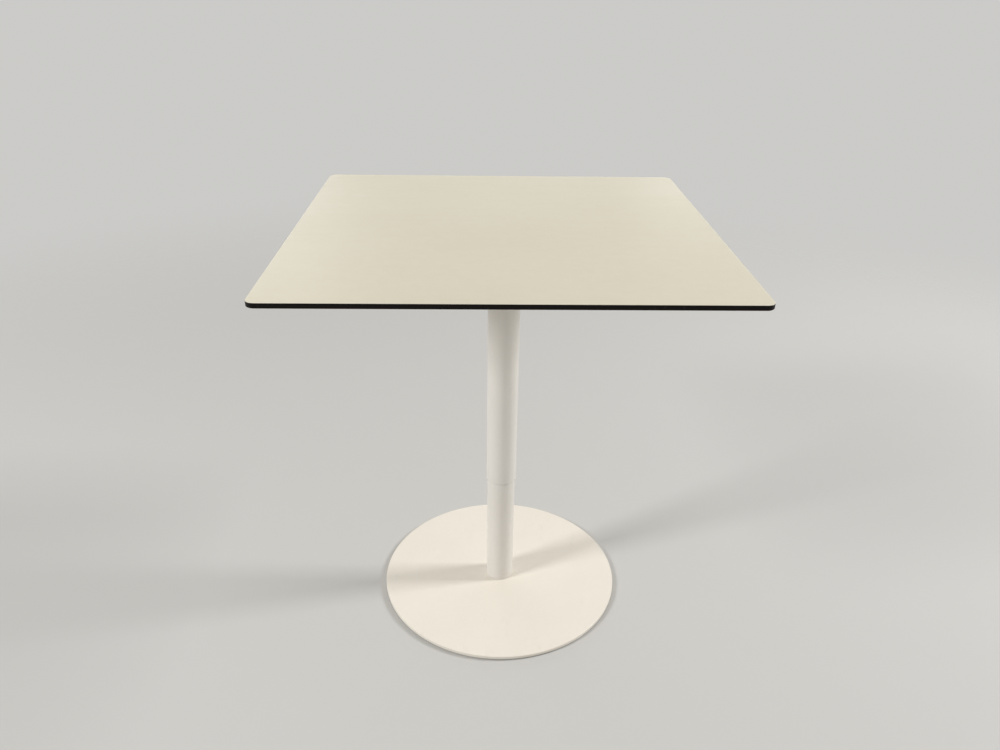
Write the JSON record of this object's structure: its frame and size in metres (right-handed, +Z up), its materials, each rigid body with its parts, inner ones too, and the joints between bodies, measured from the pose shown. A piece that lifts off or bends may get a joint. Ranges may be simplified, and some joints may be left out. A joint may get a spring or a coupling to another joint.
{
  "type": "height-adjustable pedestal table",
  "caption": "Pedestal table with a thin square laminate top on a telescoping round column, lifted by a lockable gas spring with a hand lever, on a flat round base.",
  "frame": {"origin": "on the floor, at the foot of the column's axis", "axes": "+Z up along the column, +X towards the release lever, -Y towards the front edge of the top"},
  "size_m": [0.89, 0.89, 0.962],
  "materials": {
    "pale_decor": "matte",
    "dark_core": "satin",
    "white_coat": "satin",
    "guide_polymer": "matte",
    "glide_polymer": "matte",
    "grip_polymer": "satin",
    "zinc_steel": "satin",
    "spring_steel": "satin",
    "bright_steel": "polished",
    "black_coat": "satin",
    "brass": "satin",
    "cast_alloy": "satin",
    "seal_rubber": "matte"
  },
  "bodies": {
    "base": {"base_plate": "white_coat", "base_glides": "glide_polymer", "foot_plug": "zinc_steel", "foot_screws": "zinc_steel", "lower_tube": "white_coat", "guide_cap": "guide_polymer", "spring_post": "zinc_steel", "cylinder_nut": "zinc_steel", "gas_cylinder": "black_coat", "rod_guide": "cast_alloy", "rod_seal": "seal_rubber"},
    "lifting_top": {"tabletop_face": "pale_decor", "tabletop_core": "dark_core", "tabletop_backing": "pale_decor", "threaded_inserts": "brass", "top_plate": "white_coat", "plate_screws": "zinc_steel", "upper_tube": "white_coat", "lower_bush": "guide_polymer", "anti_turn_rod": "bright_steel", "anti_turn_screw": "zinc_steel", "piston_rod": "bright_steel", "piston": "cast_alloy", "piston_ring": "seal_rubber", "rod_nut": "zinc_steel", "release_bracket": "cast_alloy", "bracket_screws": "zinc_steel", "pivot_pin": "zinc_steel", "pivot_clip": "spring_steel"},
    "release_lever": {"release_rocker": "zinc_steel", "lever_rod": "bright_steel", "lever_grip": "grip_polymer"},
    "valve_pin": {"release_pin": "zinc_steel"}
  },
  "joints": [
    {"name": "height_slide", "type": "slide", "parent": "base", "child": "lifting_top", "axis": [0, 0, 1], "range_m": [-0.242, 0.138]},
    {"name": "lever_tip", "type": "hinge", "parent": "lifting_top", "child": "release_lever", "pos_m": [0.02402, 0, 0.936], "axis": [0, -1, 0], "range_deg": [0, 6], "stiffness_Nm_per_rad": 5, "springref_deg": -2.86},
    {"name": "valve_press", "type": "slide", "parent": "lifting_top", "child": "valve_pin", "axis": [0, 0, -1], "range_m": [0, 0.0026], "stiffness_N_per_m": 500, "springref_m": -0.002}
  ],
  "couplings": [
    {"joint": "valve_press", "follows": "lever_tip", "m_per_rad": 0.024022}
  ]
}
